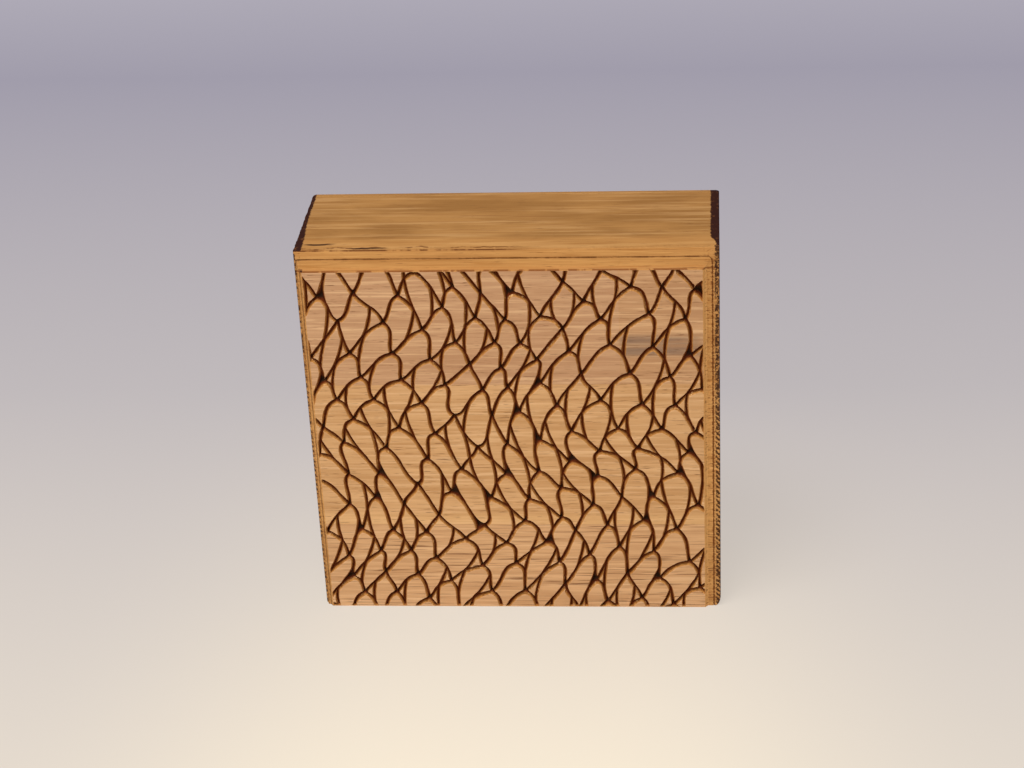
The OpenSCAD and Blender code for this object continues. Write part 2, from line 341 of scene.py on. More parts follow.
def corner_ring(i, j, side):
    """Outline of the corner beside the tip (i, j), counter-clockwise as seen from the front."""
    b = neighbour(i, j, side == RIGHT, -1)
    c = corner_reach(i, j, side)
    top, bottom = strand(i, j, side == RIGHT, c), strand(*b, side == LEFT, 1 - c)
    tip = sway(knot(i, j))
    if side == LEFT:
        return along(i, j, False, 0, c) + seam_line(top, bottom, tip) + along(*b, True, 1 - c, 1)
    return along(*b, False, 1, 1 - c) + seam_line(bottom, top, tip) + along(i, j, True, c, 0)


# Depth of the carving
def border_distance(x, z):
    return min(x - FIELD_LEFT, FIELD_RIGHT - x, FIELD_TOP - z)


def uneven(p, strength, scale, seed):
    return strength * field_noise(Vector((p.x / scale, p.y / scale, seed)))


def near_tip(distance, spread):
    """1 at a leaf tip, falling to 0 away from it."""
    return math.exp(-((distance / spread) ** 2))


def land_rings(ring, tips, widening, shoulder):
    """Rings of one land from the middle of the groove round it up to its face: (points, depths)."""
    count = len(ring)
    away = [min((p - tip).length for tip in tips) for p in ring]
    upper = [max(0.0, (ring[k - 1] - ring[(k + 1) % count]).normalized().x) for k in range(count)]

    tip_widening = HALF_GROOVE_TIP - HALF_GROOVE
    half = [HALF_GROOVE + widening + tip_widening * near_tip(d, TIP_SPREAD) for d in away]
    half = [h + shoulder * u + uneven(p, *GROOVE_NOISE) for h, u, p in zip(half, upper, ring)]

    pit = [PIT_DEPTH * near_tip(d, PIT_SPREAD) for d in away]
    floor = [GROOVE_DEPTH + q + uneven(p, *FLOOR_NOISE) for q, p in zip(pit, ring)]

    bend = [BEND_PLACE - BEND_PLACE_UPPER * u + uneven(p, *BEND_NOISE) for u, p in zip(upper, ring)]
    bend = [HALF_FLOOR + (h - HALF_FLOOR) * w for h, w in zip(half, bend)]
    rim = [h - RIM_INSET - RIM_INSET_UPPER * shoulder * u for h, u in zip(half, upper)]
    return [
        (ring, floor),
        (untangled(inset(ring, [HALF_FLOOR] * count)), [d - FLOOR_HOLLOW for d in floor]),
        (untangled(inset(ring, bend)), [d * BEND_DEPTH for d in floor]),
        (untangled(inset(ring, rim)), [RIM_DEPTH + RIM_DEPTH_UPPER * u for u in upper]),
        (untangled(inset(ring, half)), [0.0] * count),
    ]


def add_land(bm, ring, tips, stands=True):
    """Adds the carved surface of one cell, from the middle of its groove inwards."""
    is_leaf = len(tips) > 1
    widening = LEAF_WIDENING if is_leaf else CORNER_WIDENING
    shoulder = LEAF_SHOULDER if is_leaf else CORNER_SHOULDER
    rings = land_rings(ring, tips, widening, shoulder)
    if not stands:
        rings = rings[:1]
    loops = []
    for points, depths in rings:
        loops.append([bm.verts.new((p.x, FRONT + d, p.y)) for p, d in zip(points, depths)])
    n = len(ring)
    for outer, inner in zip(loops, loops[1:]):
        for k in range(n):
            bm.faces.new((outer[k], outer[(k + 1) % n], inner[(k + 1) % n], inner[k]))
    last = loops[-1]
    if stands:
        bm.faces.new([v for k, v in enumerate(last) if (v.co - last[k - 1].co).length > SAME_POINT])
        return
    middle = sum(ring, Vector((0, 0))) / n
    deepest = bm.verts.new((middle.x, FRONT + SUNK_DEPTH, middle.y))
    for k in range(n):
        bm.faces.new((last[k], last[(k + 1) % n], deepest))


def inside(ring):
    """Whether a ring reaches into the carved field."""
    return (
        max(p.x for p in ring) > FIELD_LEFT
        and min(p.x for p in ring) < FIELD_RIGHT
        and max(p.y for p in ring) > 0
        and min(p.y for p in ring) < FIELD_TOP
    )


def cells():
    """Every leaf and corner that reaches into the field: (outline, tips, whether it stands)."""
    found = []
    for j in LEAF_ROWS:
        for i in COLUMNS:
            corners = ((i, j), neighbour(i, j, True), neighbour(i, j, False), (i, j + 2))
            found.append((leaf_ring(i, j), [sway(knot(*c)) for c in corners], True))
    for j in CORNER_ROWS:
        for i in COLUMNS:
            for side in (LEFT, RIGHT):
                if has_corner(i, j, side):
                    stands = corner_stands(i, j, side)
                    found.append((corner_ring(i, j, side), [sway(knot(i, j))], stands))
    return [cell for cell in found if inside(cell[0])]


def bisect(bm, co, no, clear=False):
    """Cuts the mesh at a plane and returns what lies on it, without what lies beyond where clear is set."""
    geom = bm.verts[:] + bm.edges[:] + bm.faces[:]
    cut = bmesh.ops.bisect_plane(
        bm, geom=geom, dist=CUT_REACH, plane_co=co, plane_no=no, clear_outer=clear
    )
    return [e for e in cut["geom_cut"] if isinstance(e, bmesh.types.BMEdge) and e.is_valid]


def carved_field():
    """The whole carved field as one open sheet, with its grooves closed at the border."""
    bm = bmesh.new()
    for ring, tips, stands in cells():
        add_land(bm, ring, tips, stands)
    bmesh.ops.remove_doubles(bm, verts=bm.verts[:], dist=WELD)
    bmesh.ops.dissolve_degenerate(bm, dist=CUT_REACH, edges=bm.edges[:])
    big = [f for f in bm.faces if len(f.verts) > 4]
    bmesh.ops.triangulate(bm, faces=big, ngon_method="EAR_CLIP")
    limits = (
        ((FIELD_LEFT, 0, 0), (-1, 0, 0)),
        ((FIELD_RIGHT, 0, 0), (1, 0, 0)),
        ((0, 0, FIELD_TOP), (0, 0, 1)),
        ((0, 0, 0), (0, 0, -1)),
    )
    for co, no in limits:
        bisect(bm, co, no, clear=True)
        bisect(bm, Vector(co) - Vector(no) * END_LENGTH, no)
    for v in bm.verts:
        share = min(border_distance(v.co.x, v.co.z), v.co.z) / END_LENGTH
        v.co.y = FRONT + (v.co.y - FRONT) * min(1.0, max(0.0, share))
        if share < NO_DEPTH_SHARE:
            v.co.y = FRONT
    return bm


# Profiles of the border, as distance outwards and depth: the flank, the scored line and the front arris
FLANK_PROFILE = (
    (0.07, FRONT + 0.015),
    (0.16, FRONT + 0.10),
    (FLANK * 0.55, FRONT + LAND_RISE * 0.58),
    (FLANK - 0.08, MARGIN - 0.06),
    (FLANK + 0.04, MARGIN),
)
LINE_PROFILE = ((0, 0), (0.05, 0.8), (LINE_WIDTH / 2, 1), (LINE_WIDTH - 0.05, 0.8), (LINE_WIDTH, 0))
ARRIS_PROFILE = ((0.28, 0), (0.1, 0.05), (0.02, 0.15), (0, ARRIS_DEPTH))
SIDE_STEPS, BACK_STEPS = 34, 5
LINE_RINGS = range(len(FLANK_PROFILE), len(FLANK_PROFILE) + len(LINE_PROFILE))
EDGE_RING = LINE_RINGS.stop
SIDE_RING = EDGE_RING + len(ARRIS_PROFILE)

# Roughness of the sawn and scorched ends: cells per millimetre, mean and depth, and the kind of the fractal
HOLLOW_CELLS = (0.2, 1.3, 0.5)
HOLLOW_MEAN, HOLLOW_DEPTH = 0.1, 0.12
HOLLOW_FRACTAL = (0.6, 2.0, 4)


def ring_plan():
    """Rings from the field's border to the back: distance left, above and right of the field, and depth."""
    rings = [(d, d, d, y) for d, y in FLANK_PROFILE]
    for d, y in LINE_PROFILE:
        rings.append((LINE_GAP_LEFT + d, LINE_GAP_TOP + d, LINE_GAP_RIGHT + d, MARGIN + LINE_DEPTH * y))
    for d, y in ARRIS_PROFILE:
        rings.append((LEFT_MARGIN - d, TOP_MARGIN - d, RIGHT_MARGIN - d, MARGIN + y))
    first, last = MARGIN + ARRIS_DEPTH, BACK - BACK_RADIUS
    for k in range(1, SIDE_STEPS + 1):
        rings.append((LEFT_MARGIN, TOP_MARGIN, RIGHT_MARGIN, first + (last - first) * k / SIDE_STEPS))
    for k in range(1, BACK_STEPS + 1):
        a = 90 * k / BACK_STEPS
        d = BACK_RADIUS * (1 - cosd(a))
        top = TOP_MARGIN - BACK_TOP_EASE * k / BACK_STEPS
        rings.append((LEFT_MARGIN - d, top, RIGHT_MARGIN - d, BACK - BACK_RADIUS * (1 - sind(a))))
    return rings


def ease_in(z, ease):
    """How far the block's end lies inwards at height z, from the easing of its lower corner."""
    width, tall = ease
    if z >= tall:
        return 0.0
    return width * (1 - math.sqrt(max(0.0, 1 - ((tall - z) / tall) ** 2)))


def round_line(x, z, right, height, index):
    """Rounds the upper right corner of the scored line."""
    r = LINE_RADIUS + (index - LINE_RINGS[0]) * LINE_WIDTH / (len(LINE_PROFILE) - 1)
    cx, cz = FIELD_RIGHT + right - r, height - r
    if x <= cx or z <= cz:
        return x, z
    away = Vector((x - cx, z - cz)).normalized() * r
    return cx + away.x, cz + away.y


def ring_point(side, t, plan, index):
    """Place of one point of a ring, where t runs from 0 to 1 along its side of the field."""
    left, top, right, y = plan
    height, width = FIELD_TOP + top, FIELD_WIDTH + left + right
    if side == "left":
        x, z = FIELD_LEFT - left, t * height
    elif side == "right":
        x, z = FIELD_RIGHT + right, t * height
    else:
        x, z = FIELD_LEFT - left + t * width, height
    if index in LINE_RINGS:
        x, z = round_line(x, z, right, height, index)
        if side == "left":
            y = MARGIN + (y - MARGIN) * LEFT_LINE_SHARE
    if index >= EDGE_RING and side == "left":
        x += ease_in(z, LEFT_EASE)
    elif index >= EDGE_RING and side == "right":
        x -= ease_in(z, RIGHT_EASE)
    return x, y, z


def hollow(x, y, z):
    """How far the rough surface of a sawn end lies inwards."""
    a, b, c = HOLLOW_CELLS
    relief = fractal(Vector((x * a, y * b, z * c)), *HOLLOW_FRACTAL)
    return max(0.0, HOLLOW_MEAN + HOLLOW_DEPTH * relief)


def border_path(bm):
    """Border vertices of the field along its left, top and right sides in order: (side, place, vertex)."""
    keyed = []
    for v in bm.verts:
        if not v.is_boundary:
            continue
        x, z = v.co.x, v.co.z
        if abs(x - FIELD_LEFT) < AT_BORDER:
            keyed.append((z / FIELD_TOP, "left", z / FIELD_TOP, v))
        elif abs(x - FIELD_RIGHT) < AT_BORDER:
            keyed.append((3 - z / FIELD_TOP, "right", z / FIELD_TOP, v))
        elif abs(z - FIELD_TOP) < AT_BORDER:
            t = (x - FIELD_LEFT) / FIELD_WIDTH
            keyed.append((1 + t, "top", t, v))
    keyed.sort(key=lambda entry: entry[0])
    return [entry[1:] for entry in keyed]


def split_long_border(bm):
    """Divides the long edges on the left, top and right border of the field."""
    def at_border(v):
        return border_distance(v.co.x, v.co.z) < AT_BORDER

    for e in [e for e in bm.edges if e.is_boundary and at_border(e.verts[0])]:
        if not at_border(e.verts[1]):
            continue
        v = e.verts[0]
        for k in range(math.ceil(e.calc_length() / LONGEST_BORDER_EDGE), 1, -1):
            e, v = bmesh.utils.edge_split(e, v, 1 / k)
            e = next(n for n in v.link_edges if n.is_boundary and n != e)


def whole_block():
    """The carved field joined to its border, sides and back as one closed mesh."""
    bm = carved_field()
    split_long_border(bm)
    path = border_path(bm)
    before = [entry[2] for entry in path]
    for index, plan in enumerate(ring_plan()):
        row = []
        for side, t, _ in path:
            x, y, z = ring_point(side, t, plan, index)
            if index >= SIDE_RING and (side == "left" or (side == "top" and t == 0)):
                x += hollow(x, y, z)
            elif index >= SIDE_RING and side == "right":
                x -= hollow(x, y, z)
            row.append(bm.verts.new((x, y, z)))
        for k in range(len(row) - 1):
            bm.faces.new((before[k + 1], before[k], row[k], row[k + 1]))
        before = row
    bm.faces.new(before)
    bmesh.ops.holes_fill(bm, edges=[e for e in bm.edges if e.is_boundary], sides=0)
    bmesh.ops.recalc_face_normals(bm, faces=bm.faces[:])
    return bm


# Cutting the block into its staves and glue films
def piece_between(block, lo, hi):
    """The part of the block between two corners, closed at its cuts."""
    bm = block.copy()
    for axis, start, stop in ((0, X_LEFT, X_RIGHT), (2, 0, HEIGHT)):
        for side, limit, face in ((-1, lo[axis], start), (1, hi[axis], stop)):
            if abs(limit - face) < AT_FACE:
                continue
            co, no = Vector((0, 0, 0)), Vector((0, 0, 0))
            co[axis], no[axis] = limit, side
            bmesh.ops.holes_fill(bm, edges=bisect(bm, co, no, clear=True), sides=0)
    return cleaned(bm)


def triangulate_large(bm):
    bmesh.ops.triangulate(bm, faces=[f for f in bm.faces if len(f.verts) > 3])


def faulty_faces(bm):
    """Faces that are folded flat onto each other, and flaps and slivers at open edges."""
    same = {}
    for f in bm.faces:
        same.setdefault(frozenset(f.verts), []).append(f)
    folded = {f for faces in same.values() if len(faces) > 1 for f in faces}
    at_open_edge = {f for e in bm.edges if e.is_boundary for f in e.link_faces}
    for f in at_open_edge:
        if any(len(e.link_faces) > 2 for e in f.edges) or f.calc_area() < SMALLEST_FLAP:
            folded.add(f)
    return list(folded)


def cleaned(bm):
    """Merges points that lie very close together, drops faulty faces and closes the mesh again."""
    bmesh.ops.triangulate(bm, faces=bm.faces[:], ngon_method="EAR_CLIP")
    bmesh.ops.remove_doubles(bm, verts=bm.verts[:], dist=CLOSE_POINTS)
    bmesh.ops.dissolve_degenerate(bm, dist=CLOSE_POINTS, edges=bm.edges[:])
    triangulate_large(bm)
    faulty = faulty_faces(bm)
    while faulty:
        bmesh.ops.delete(bm, geom=faulty, context="FACES")
        faulty = faulty_faces(bm)
    open_edges = [e for e in bm.edges if e.is_boundary]
    if open_edges:
        bmesh.ops.holes_fill(bm, edges=open_edges, sides=0)
    triangulate_large(bm)
    return bm


def finish_piece(bm, node, material):
    """Makes a Blender object of a piece, in metres, that stands for its node of the frame."""
    for e in bm.edges:
        rim = all(abs(v.co.y - FRONT) < AT_FRONT for v in e.verts)
        limit = math.radians(RIM_ANGLE if rim else CREASE_ANGLE)
        e.smooth = len(e.link_faces) == 2 and e.calc_face_angle(0) < limit
    for f in bm.faces:
        f.smooth = True
    bmesh.ops.scale(bm, vec=(MM, MM, MM), verts=bm.verts[:])
    mesh = bpy.data.meshes.new(node + "_carved")
    bm.to_mesh(mesh)
    bm.free()
    obj = bpy.data.objects.new(node + "_carved", mesh)
    bpy.context.scene.collection.objects.link(obj)
    mesh.materials.append(material)
    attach(obj, "root")
    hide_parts(node)


# Colours
def srgb(r, g, b):
    """An 8-bit screen colour as a linear one."""
    def linear(v):
        v /= 255
        return v / 12.92 if v <= 0.04045 else ((v + 0.055) / 1.055) ** 2.4
    return linear(r), linear(g), linear(b), 1.0


PALE_STRIPE, PALE_STRIP, STAIN = srgb(228, 188, 144), srgb(226, 182, 128), srgb(128, 104, 88)
# Painted shade for the up-facing flank above the field, painted light for the flank right of it
BROWN_STRIPE, UPPER_FLANK_SHADE, RIGHT_FLANK_LIGHT = srgb(160, 104, 46), srgb(168, 112, 56), srgb(236, 180, 112)
# Tones of the faces that look up, with painted shade in them
SHADED_TOP_DARK, SHADED_TOP_LIGHT = srgb(138, 96, 50), srgb(162, 117, 66)
SHADED_TOP_PALE, SHADED_TOP_BROWN = srgb(182, 140, 92), srgb(132, 88, 48)
WALL_DARK, WALL_LIGHT, FRAY = srgb(160, 104, 46), srgb(190, 134, 70), srgb(232, 188, 132)
# Groove colours: burn mixed with painted shade, nearer black at the bottoms of the pits
GROOVE_BURN_AND_SHADE, PIT_BURN_AND_SHADE = srgb(104, 38, 5), srgb(30, 9, 2)
# The last colour serves for real nicks and for painted shade in the scored line and at the foot of the top
# band
CRACK, DEEP_CRACK, PORE, MARK_AND_SHADE = srgb(92, 46, 14), srgb(46, 18, 10), srgb(104, 64, 36), srgb(112, 58, 20)
SCORCH, SPECK = srgb(48, 20, 12), srgb(132, 82, 42)

# Places on the block: where a mark begins, is full, begins to fade and ends
STAIN_X, STAIN_Z = (25.0, 28.0, 44.0, 47.5), (70.5, 72.5, 75.5, 78.0)
PALE_STRIP_Z = (24.3, 24.6, 26.2, 28.6)
FRAY_DEPTH = (0.04, 0.2, 0.7, 0.95)
SHORT_CRACK_X, SPLIT_X = (-49.0, -46.0, -43.0, -39.5), (-38.0, -34.0, -31.0, -26.0)

# Cracks on the top: distance behind the front arris, share of the waviness, outer and inner half width
CRACK_LINE, SHORT_CRACK, SPLIT = (1.2, 1.0, 0.5, 0.1), (3.4, 0.5, 0.6, 0.3), (0.9, 0.3, 0.7, 0.2)

SEED_STEPS = (17.3, 5.1, 9.7)
WAVINESS = 4.0
HATCH_CELLS, HATCH_SWAY = 4.6, 9.0
ROUGHNESS, SPECULAR = 0.72, 0.12


class Nodes:
    """Adds and links the shader nodes of one material."""

    def __init__(self, material):
        material.use_nodes = True
        self.tree = material.node_tree
        self.tree.nodes.clear()

    def put(self, socket, value):
        """Links a socket into another one, or sets its value."""
        if isinstance(value, bpy.types.NodeSocket):
            self.tree.links.new(value, socket)
        else:
            socket.default_value = value

    def add(self, node_type, inputs, **settings):
        node = self.tree.nodes.new(node_type)
        for name, value in settings.items():
            setattr(node, name, value)
        for name, value in inputs.items():
            self.put(node.inputs[name], value)
        return node

    def math(self, operation, a, b=0.0):
        return self.add("ShaderNodeMath", {0: a, 1: b}, operation=operation).outputs[0]

    def plus(self, a, b):
        return self.math("ADD", a, b)

    def minus(self, a, b):
        return self.math("SUBTRACT", a, b)

    def times(self, first, *others):
        for value in others:
            first = self.math("MULTIPLY", first, value)
        return first

    def largest(self, first, *others):
        for value in others:
            first = self.math("MAXIMUM", first, value)
        return first

    def distance(self, a, b=0.0):
        """How far a lies from b, either way."""
        return self.math("ABSOLUTE", self.minus(a, b))

    def ramp(self, value, start, end, low=0.0, high=1.0, smooth=True):
        """Goes from low at start to high at end."""
        inputs = {"Value": value, "From Min": start, "From Max": end, "To Min": low, "To Max": high}
        kind = "SMOOTHSTEP" if smooth else "LINEAR"
        return self.add("ShaderNodeMapRange", inputs, interpolation_type=kind).outputs[0]

    def window(self, value, places):
        """1 between the two middle places, fading to 0 at the outer two."""
        start, full, fade, end = places
        return self.times(self.ramp(value, start, full), self.ramp(value, end, fade))

    def mix(self, factor, a, b):
        node = self.add("ShaderNodeMix", {0: factor}, data_type="RGBA")
        self.put(node.inputs[6], a)
        self.put(node.inputs[7], b)
        return node.outputs[2]

    def noise(self, vector, scale, detail, rough, distortion=0.0):
        inputs = {"Vector": vector, "Scale": scale, "Detail": detail, "Roughness": rough}
        inputs["Distortion"] = distortion
        return self.add("ShaderNodeTexNoise", inputs).outputs[0]

    def stretched(self, vector, scale, shift=(0, 0, 0)):
        inputs = {"Vector": vector, "Scale": scale, "Location": shift}
        return self.add("ShaderNodeMapping", inputs).outputs[0]

    def parts(self, vector):
        """The X, Y and Z of a vector."""
        return self.add("ShaderNodeSeparateXYZ", {0: vector}).outputs


class Oak(Nodes):
    """Bare oak with its grain along X, a sanded printing face, carving darkened partly by burn and partly by
    painted shade, scorched ends, and painted shade or painted light on some faces by the way they face.
    """

    def __init__(self, material, seed, pores, pore_run, pore_across):
        super().__init__(material)
        position = self.add("ShaderNodeTexCoord", {}).outputs["Object"]
        scaled = self.add("ShaderNodeVectorMath", {0: position, "Scale": 1 / MM}, operation="SCALE")
        self.place = scaled.outputs[0]
        self.x, self.y, self.z = self.parts(self.place)
        self.aside, _, self.up = self.parts(self.add("ShaderNodeNewGeometry", {}).outputs["True Normal"])
        self.depth = self.minus(self.y, FRONT)
        self.behind = self.minus(self.y, MARGIN)
        self.shift = [seed * step for step in SEED_STEPS]
        self.add_noises(pores, pore_run, pore_across)
        self.add_masks()

    def field(self, cells, detail, rough, distortion=0.0, shift=(0, 0, 0)):
        """Noise with its own number of cells per millimetre along X, Y and Z."""
        return self.noise(self.stretched(self.place, cells, shift), 1.0, detail, rough, distortion)

    def grain(self, run, across, detail, rough, distortion=0.0):
        """Noise that is drawn out along the grain and differs from stave to stave."""
        return self.field((run, across, across), detail, rough, distortion, self.shift)

    def centred(self, noise, strength):
        """Noise that goes both ways from 0."""
        return self.times(self.minus(noise, 0.5), strength)

    def add_noises(self, pores, pore_run, pore_across):
        self.streaks = self.grain(0.03, 0.7, 4, 0.55, 0.3)
        self.fine = self.grain(0.09, 3.2, 3, 0.6, 0.2)
        self.stripes = self.grain(0.05, 1.7, 2, 0.5, 0.4)
        self.pore = self.ramp(self.grain(pore_run, pore_across, 2, 0.5, 0.1), pores, pores + 0.07)
        self.mottle = self.noise(self.place, 1.6, 3, 0.6)
        self.broken = self.field((0.25, 0.1, 0.1), 3, 0.65)
        self.nick_field = self.field((0.9, 1.0, 2.6), 3, 0.6)

    def add_masks(self):
        """Shares of the printing field, of the border round it and of faces that look upwards."""
        sides = (FIELD_LEFT - 0.02, FIELD_LEFT + 0.05, FIELD_RIGHT - 0.05, FIELD_RIGHT + 0.02)
        below_top = self.ramp(self.z, FIELD_TOP + 0.02, FIELD_TOP - 0.05)
        self.in_field = self.times(self.window(self.x, sides), below_top)
        self.in_border = self.times(self.minus(1.0, self.in_field), self.ramp(self.depth, 1.3, 1.1))
        self.on_land = self.times(self.ramp(self.depth, 0.1, 0.02), self.in_field)
        self.at_front = self.times(self.in_field, self.ramp(self.depth, 2.4, 1.9))
        self.upward = self.ramp(self.up, 0.6, 0.8)

    def face(self, light, dark):
        """The printing face, with a grey stain in its top right and a pale strip above the lower joint."""
        face = self.mix(self.ramp(self.streaks, 0.32, 0.68), dark, light)
        face = self.mix(self.ramp(self.fine, 0.35, 0.7, 0.0, 0.5), face, dark)
        face = self.mix(self.ramp(self.stripes, 0.5, 0.72, 0.0, 0.6), face, PALE_STRIPE)
        stain = self.times(self.window(self.x, STAIN_X), self.window(self.z, STAIN_Z))
        stain = self.times(stain, self.ramp(self.streaks, 0.36, 0.55, 0.35, 0.85))
        face = self.mix(stain, face, STAIN)
        return self.mix(self.times(self.window(self.z, PALE_STRIP_Z), 0.45), face, PALE_STRIP)

    def board(self, dark, light, brown):
        """The plain border with its flanks, the sides and the back, with painted shade on the upper flank
        and the top and painted light on the right flank.
        """
        board = self.mix(self.ramp(self.streaks, 0.3, 0.7), dark, light)
        board = self.mix(self.ramp(self.fine, 0.35, 0.7, 0.0, 0.45), board, brown)
        board = self.mix(self.ramp(self.stripes, 0.46, 0.3, 0.0, 0.6), board, BROWN_STRIPE)
        # Painted shade: the flank above the field is darker where it faces upwards
        above = self.ramp(self.z, FIELD_TOP + 1.4, FIELD_TOP + 1.0)
        above = self.times(self.ramp(self.up, 0.2, 0.5), above, 0.6)
        board = self.mix(above, board, UPPER_FLANK_SHADE)
        # Painted light: the flank right of the field, which faces away from the lamps, is painted brighter
        beside = self.ramp(self.x, FIELD_RIGHT + 1.4, FIELD_RIGHT + 1.0)
        beside = self.times(self.ramp(self.aside, 0.2, 0.5), beside, 0.7)
        return self.paint_top_shade(self.mix(beside, board, RIGHT_FLANK_LIGHT))

    def paint_top_shade(self, board):
        """Painted shade on the faces that look up, darker than the rest, with less of it in a strip along
        the front edge.
        """
        ragged = self.plus(self.behind, self.times(self.fine, 1.5))
        share = self.times(self.upward, self.ramp(ragged, 5.5, 8.0, 0.55, 1.0), 0.9)
        patches = self.grain(0.04, 0.14, 3, 0.5)
        shaded_top_colour = self.mix(self.ramp(patches, 0.35, 0.65), SHADED_TOP_DARK, SHADED_TOP_LIGHT)
        shaded_top_colour = self.mix(self.ramp(self.streaks, 0.5, 0.66, 0.0, 0.6), shaded_top_colour, SHADED_TOP_PALE)
        shaded_top_colour = self.mix(self.ramp(self.stripes, 0.42, 0.3, 0.0, 0.55), shaded_top_colour, SHADED_TOP_BROWN)
        return self.mix(share, board, shaded_top_colour)

    def carving(self, colour):
        """Golden walls of the grooves; below them burn mixed with painted shade that darkens with depth,
        painted shade on their down-facing undersides, and loose fibres.
        """
        self.wall = self.times(self.ramp(self.depth, 0.0, 0.14), self.at_front, 0.85)
        golden = self.mix(self.ramp(self.mottle, 0.4, 0.62), WALL_DARK, WALL_LIGHT)
        colour = self.mix(self.wall, colour, golden)
        deep = self.plus(self.depth, self.centred(self.mottle, 0.9))
        # Painted shade: walls that face downwards are darkened, as if out of the light
        underside_shade = self.times(self.ramp(self.up, -0.12, -0.5), self.ramp(deep, 0.02, 0.3, 0.0, 0.85))
        # Darker with depth towards the groove floor: partly burn, partly painted shade of the recess
        carved = self.largest(self.ramp(deep, 0.34, 1.0, 0.0, 0.97), underside_shade)
        # Nearer black towards the bottoms of the deep pits: burn and painted shade
        bottom = self.ramp(self.plus(self.depth, self.times(self.mottle, 0.8)), 1.3, 1.95)
        colour = self.mix(self.times(carved, self.at_front), colour, self.mix(bottom, GROOVE_BURN_AND_SHADE, PIT_BURN_AND_SHADE))
        clusters = self.ramp(self.noise(self.place, 0.09, 2, 0.5), 0.52, 0.6)
        fibres = self.ramp(self.noise(self.place, 1.7, 4, 0.75), 0.55, 0.62)
        fray = self.times(clusters, fibres, self.in_field, self.window(self.depth, FRAY_DEPTH))
        return self.mix(self.times(fray, 0.85), colour, FRAY)

    def crack(self, wave, place, share, outer, inner):
        """A wavy line on the top, at its place behind the front arris."""
        off = self.distance(self.minus(self.behind, place), self.times(wave, share))
        return self.ramp(off, outer, inner)

    def cracks(self, colour):
        """Cracks along the front arris of the top, on its left half."""
        wave = self.centred(self.field((0.12, 0, 0), 3, 0.6), WAVINESS)
        left_half = self.ramp(self.x, 8.0, -2.0)
        broken = self.ramp(self.broken, 0.36, 0.54)
        at_top = self.ramp(self.z, HEIGHT - 0.4, HEIGHT - 0.2)
        arris = self.times(self.ramp(self.distance(self.behind), 0.3, 0.12), at_top, left_half, broken, 0.9)
        line = self.times(self.crack(wave, *CRACK_LINE), left_half, broken, 0.8, self.upward)
        colour = self.mix(self.largest(arris, line), colour, CRACK)
        short = self.times(self.crack(wave, *SHORT_CRACK), self.window(self.x, SHORT_CRACK_X))
        split = self.times(self.crack(wave, *SPLIT), self.window(self.x, SPLIT_X))
        split = self.times(split, self.ramp(self.fine, 0.3, 0.5))
        return self.mix(self.times(self.largest(short, split), 0.92, self.upward), colour, DEEP_CRACK)

    def sawn_ends(self, colour):
        """The ends are scorched brown, with specks of bare wood, and the pores don't show there."""
        to_side = self.distance(self.aside)
        colour = self.mix(self.times(self.pore, self.ramp(to_side, 0.8, 0.5, 0.0, 0.72)), colour, PORE)
        right_end = self.ramp(self.x, X_RIGHT - 1.4, X_RIGHT - 1.2)
        left_end = self.ramp(self.x, X_LEFT + 1.4, X_LEFT + 1.2)
        end = self.times(self.ramp(to_side, 0.6, 0.8), self.largest(right_end, left_end))
        specks = self.ramp(self.field((1, 0.8, 2.2), 5, 0.7, shift=self.shift), 0.55, 0.72, 0.0, 0.6)
        self.scorch = self.mix(specks, SCORCH, SPECK)
        return self.mix(end, colour, self.scorch)

    def border_marks_and_shade(self, colour):
        """Brown nicks in the border, painted shade along the scored line, and painted shade in the corner at
        the foot of the top band.
        """
        at_sides = self.largest(
            self.ramp(self.x, FIELD_RIGHT, FIELD_RIGHT + 0.6),
            self.ramp(self.x, FIELD_LEFT, FIELD_LEFT - 0.3),
        )
        nicks = self.times(self.ramp(self.nick_field, 0.54, 0.66, 0.0, 0.7), at_sides)
        # Painted shade in the scored line on the right side
        off = self.distance(self.x, FIELD_RIGHT + LINE_GAP_RIGHT + LINE_WIDTH / 2)
        off = self.plus(off, self.centred(self.nick_field, -1.4))
        below = self.ramp(self.z, HEIGHT - 3.2, HEIGHT - 3.8, 0.0, 0.8)
        side_line_shade = self.times(self.ramp(off, 0.32, 0.1), below)
        # Painted shade in the scored line above the field
        off = self.distance(self.z, FIELD_TOP + LINE_GAP_TOP + LINE_WIDTH / 2)
        top_line_shade = self.times(self.ramp(off, 0.3, 0.1), self.ramp(self.broken, 0.42, 0.6, 0.0, 0.6))
        # Painted shade in the corner at the foot of the top band
        off = self.distance(self.z, FIELD_TOP + 0.12)
        foot = self.times(self.ramp(off, 0.3, 0.1), self.ramp(self.broken, 0.56, 0.5, 0.0, 0.75))
        marks = self.largest(nicks, side_line_shade, top_line_shade, foot)
        return self.mix(self.times(marks, self.in_border), colour, MARK_AND_SHADE)

    def burnt_top(self, from_left, from_right, ragged):
        """Where the scorch of the ends runs over onto the top, in strips that change their width."""
        reach = self.ramp(self.depth, 4.0, 7.0, 0.9, 2.1)
        right = self.ramp(self.minus(reach, self.plus(from_right, ragged)), -0.1, 0.15)
        right = self.times(right, self.ramp(self.depth, 1.2, 2.0))
        reach = self.ramp(self.depth, 22.0, 2.0, 1.0, 1.9)
        left = self.ramp(self.minus(reach, self.plus(from_left, ragged)), -0.1, 0.15)
        return self.times(self.largest(right, left), self.upward)

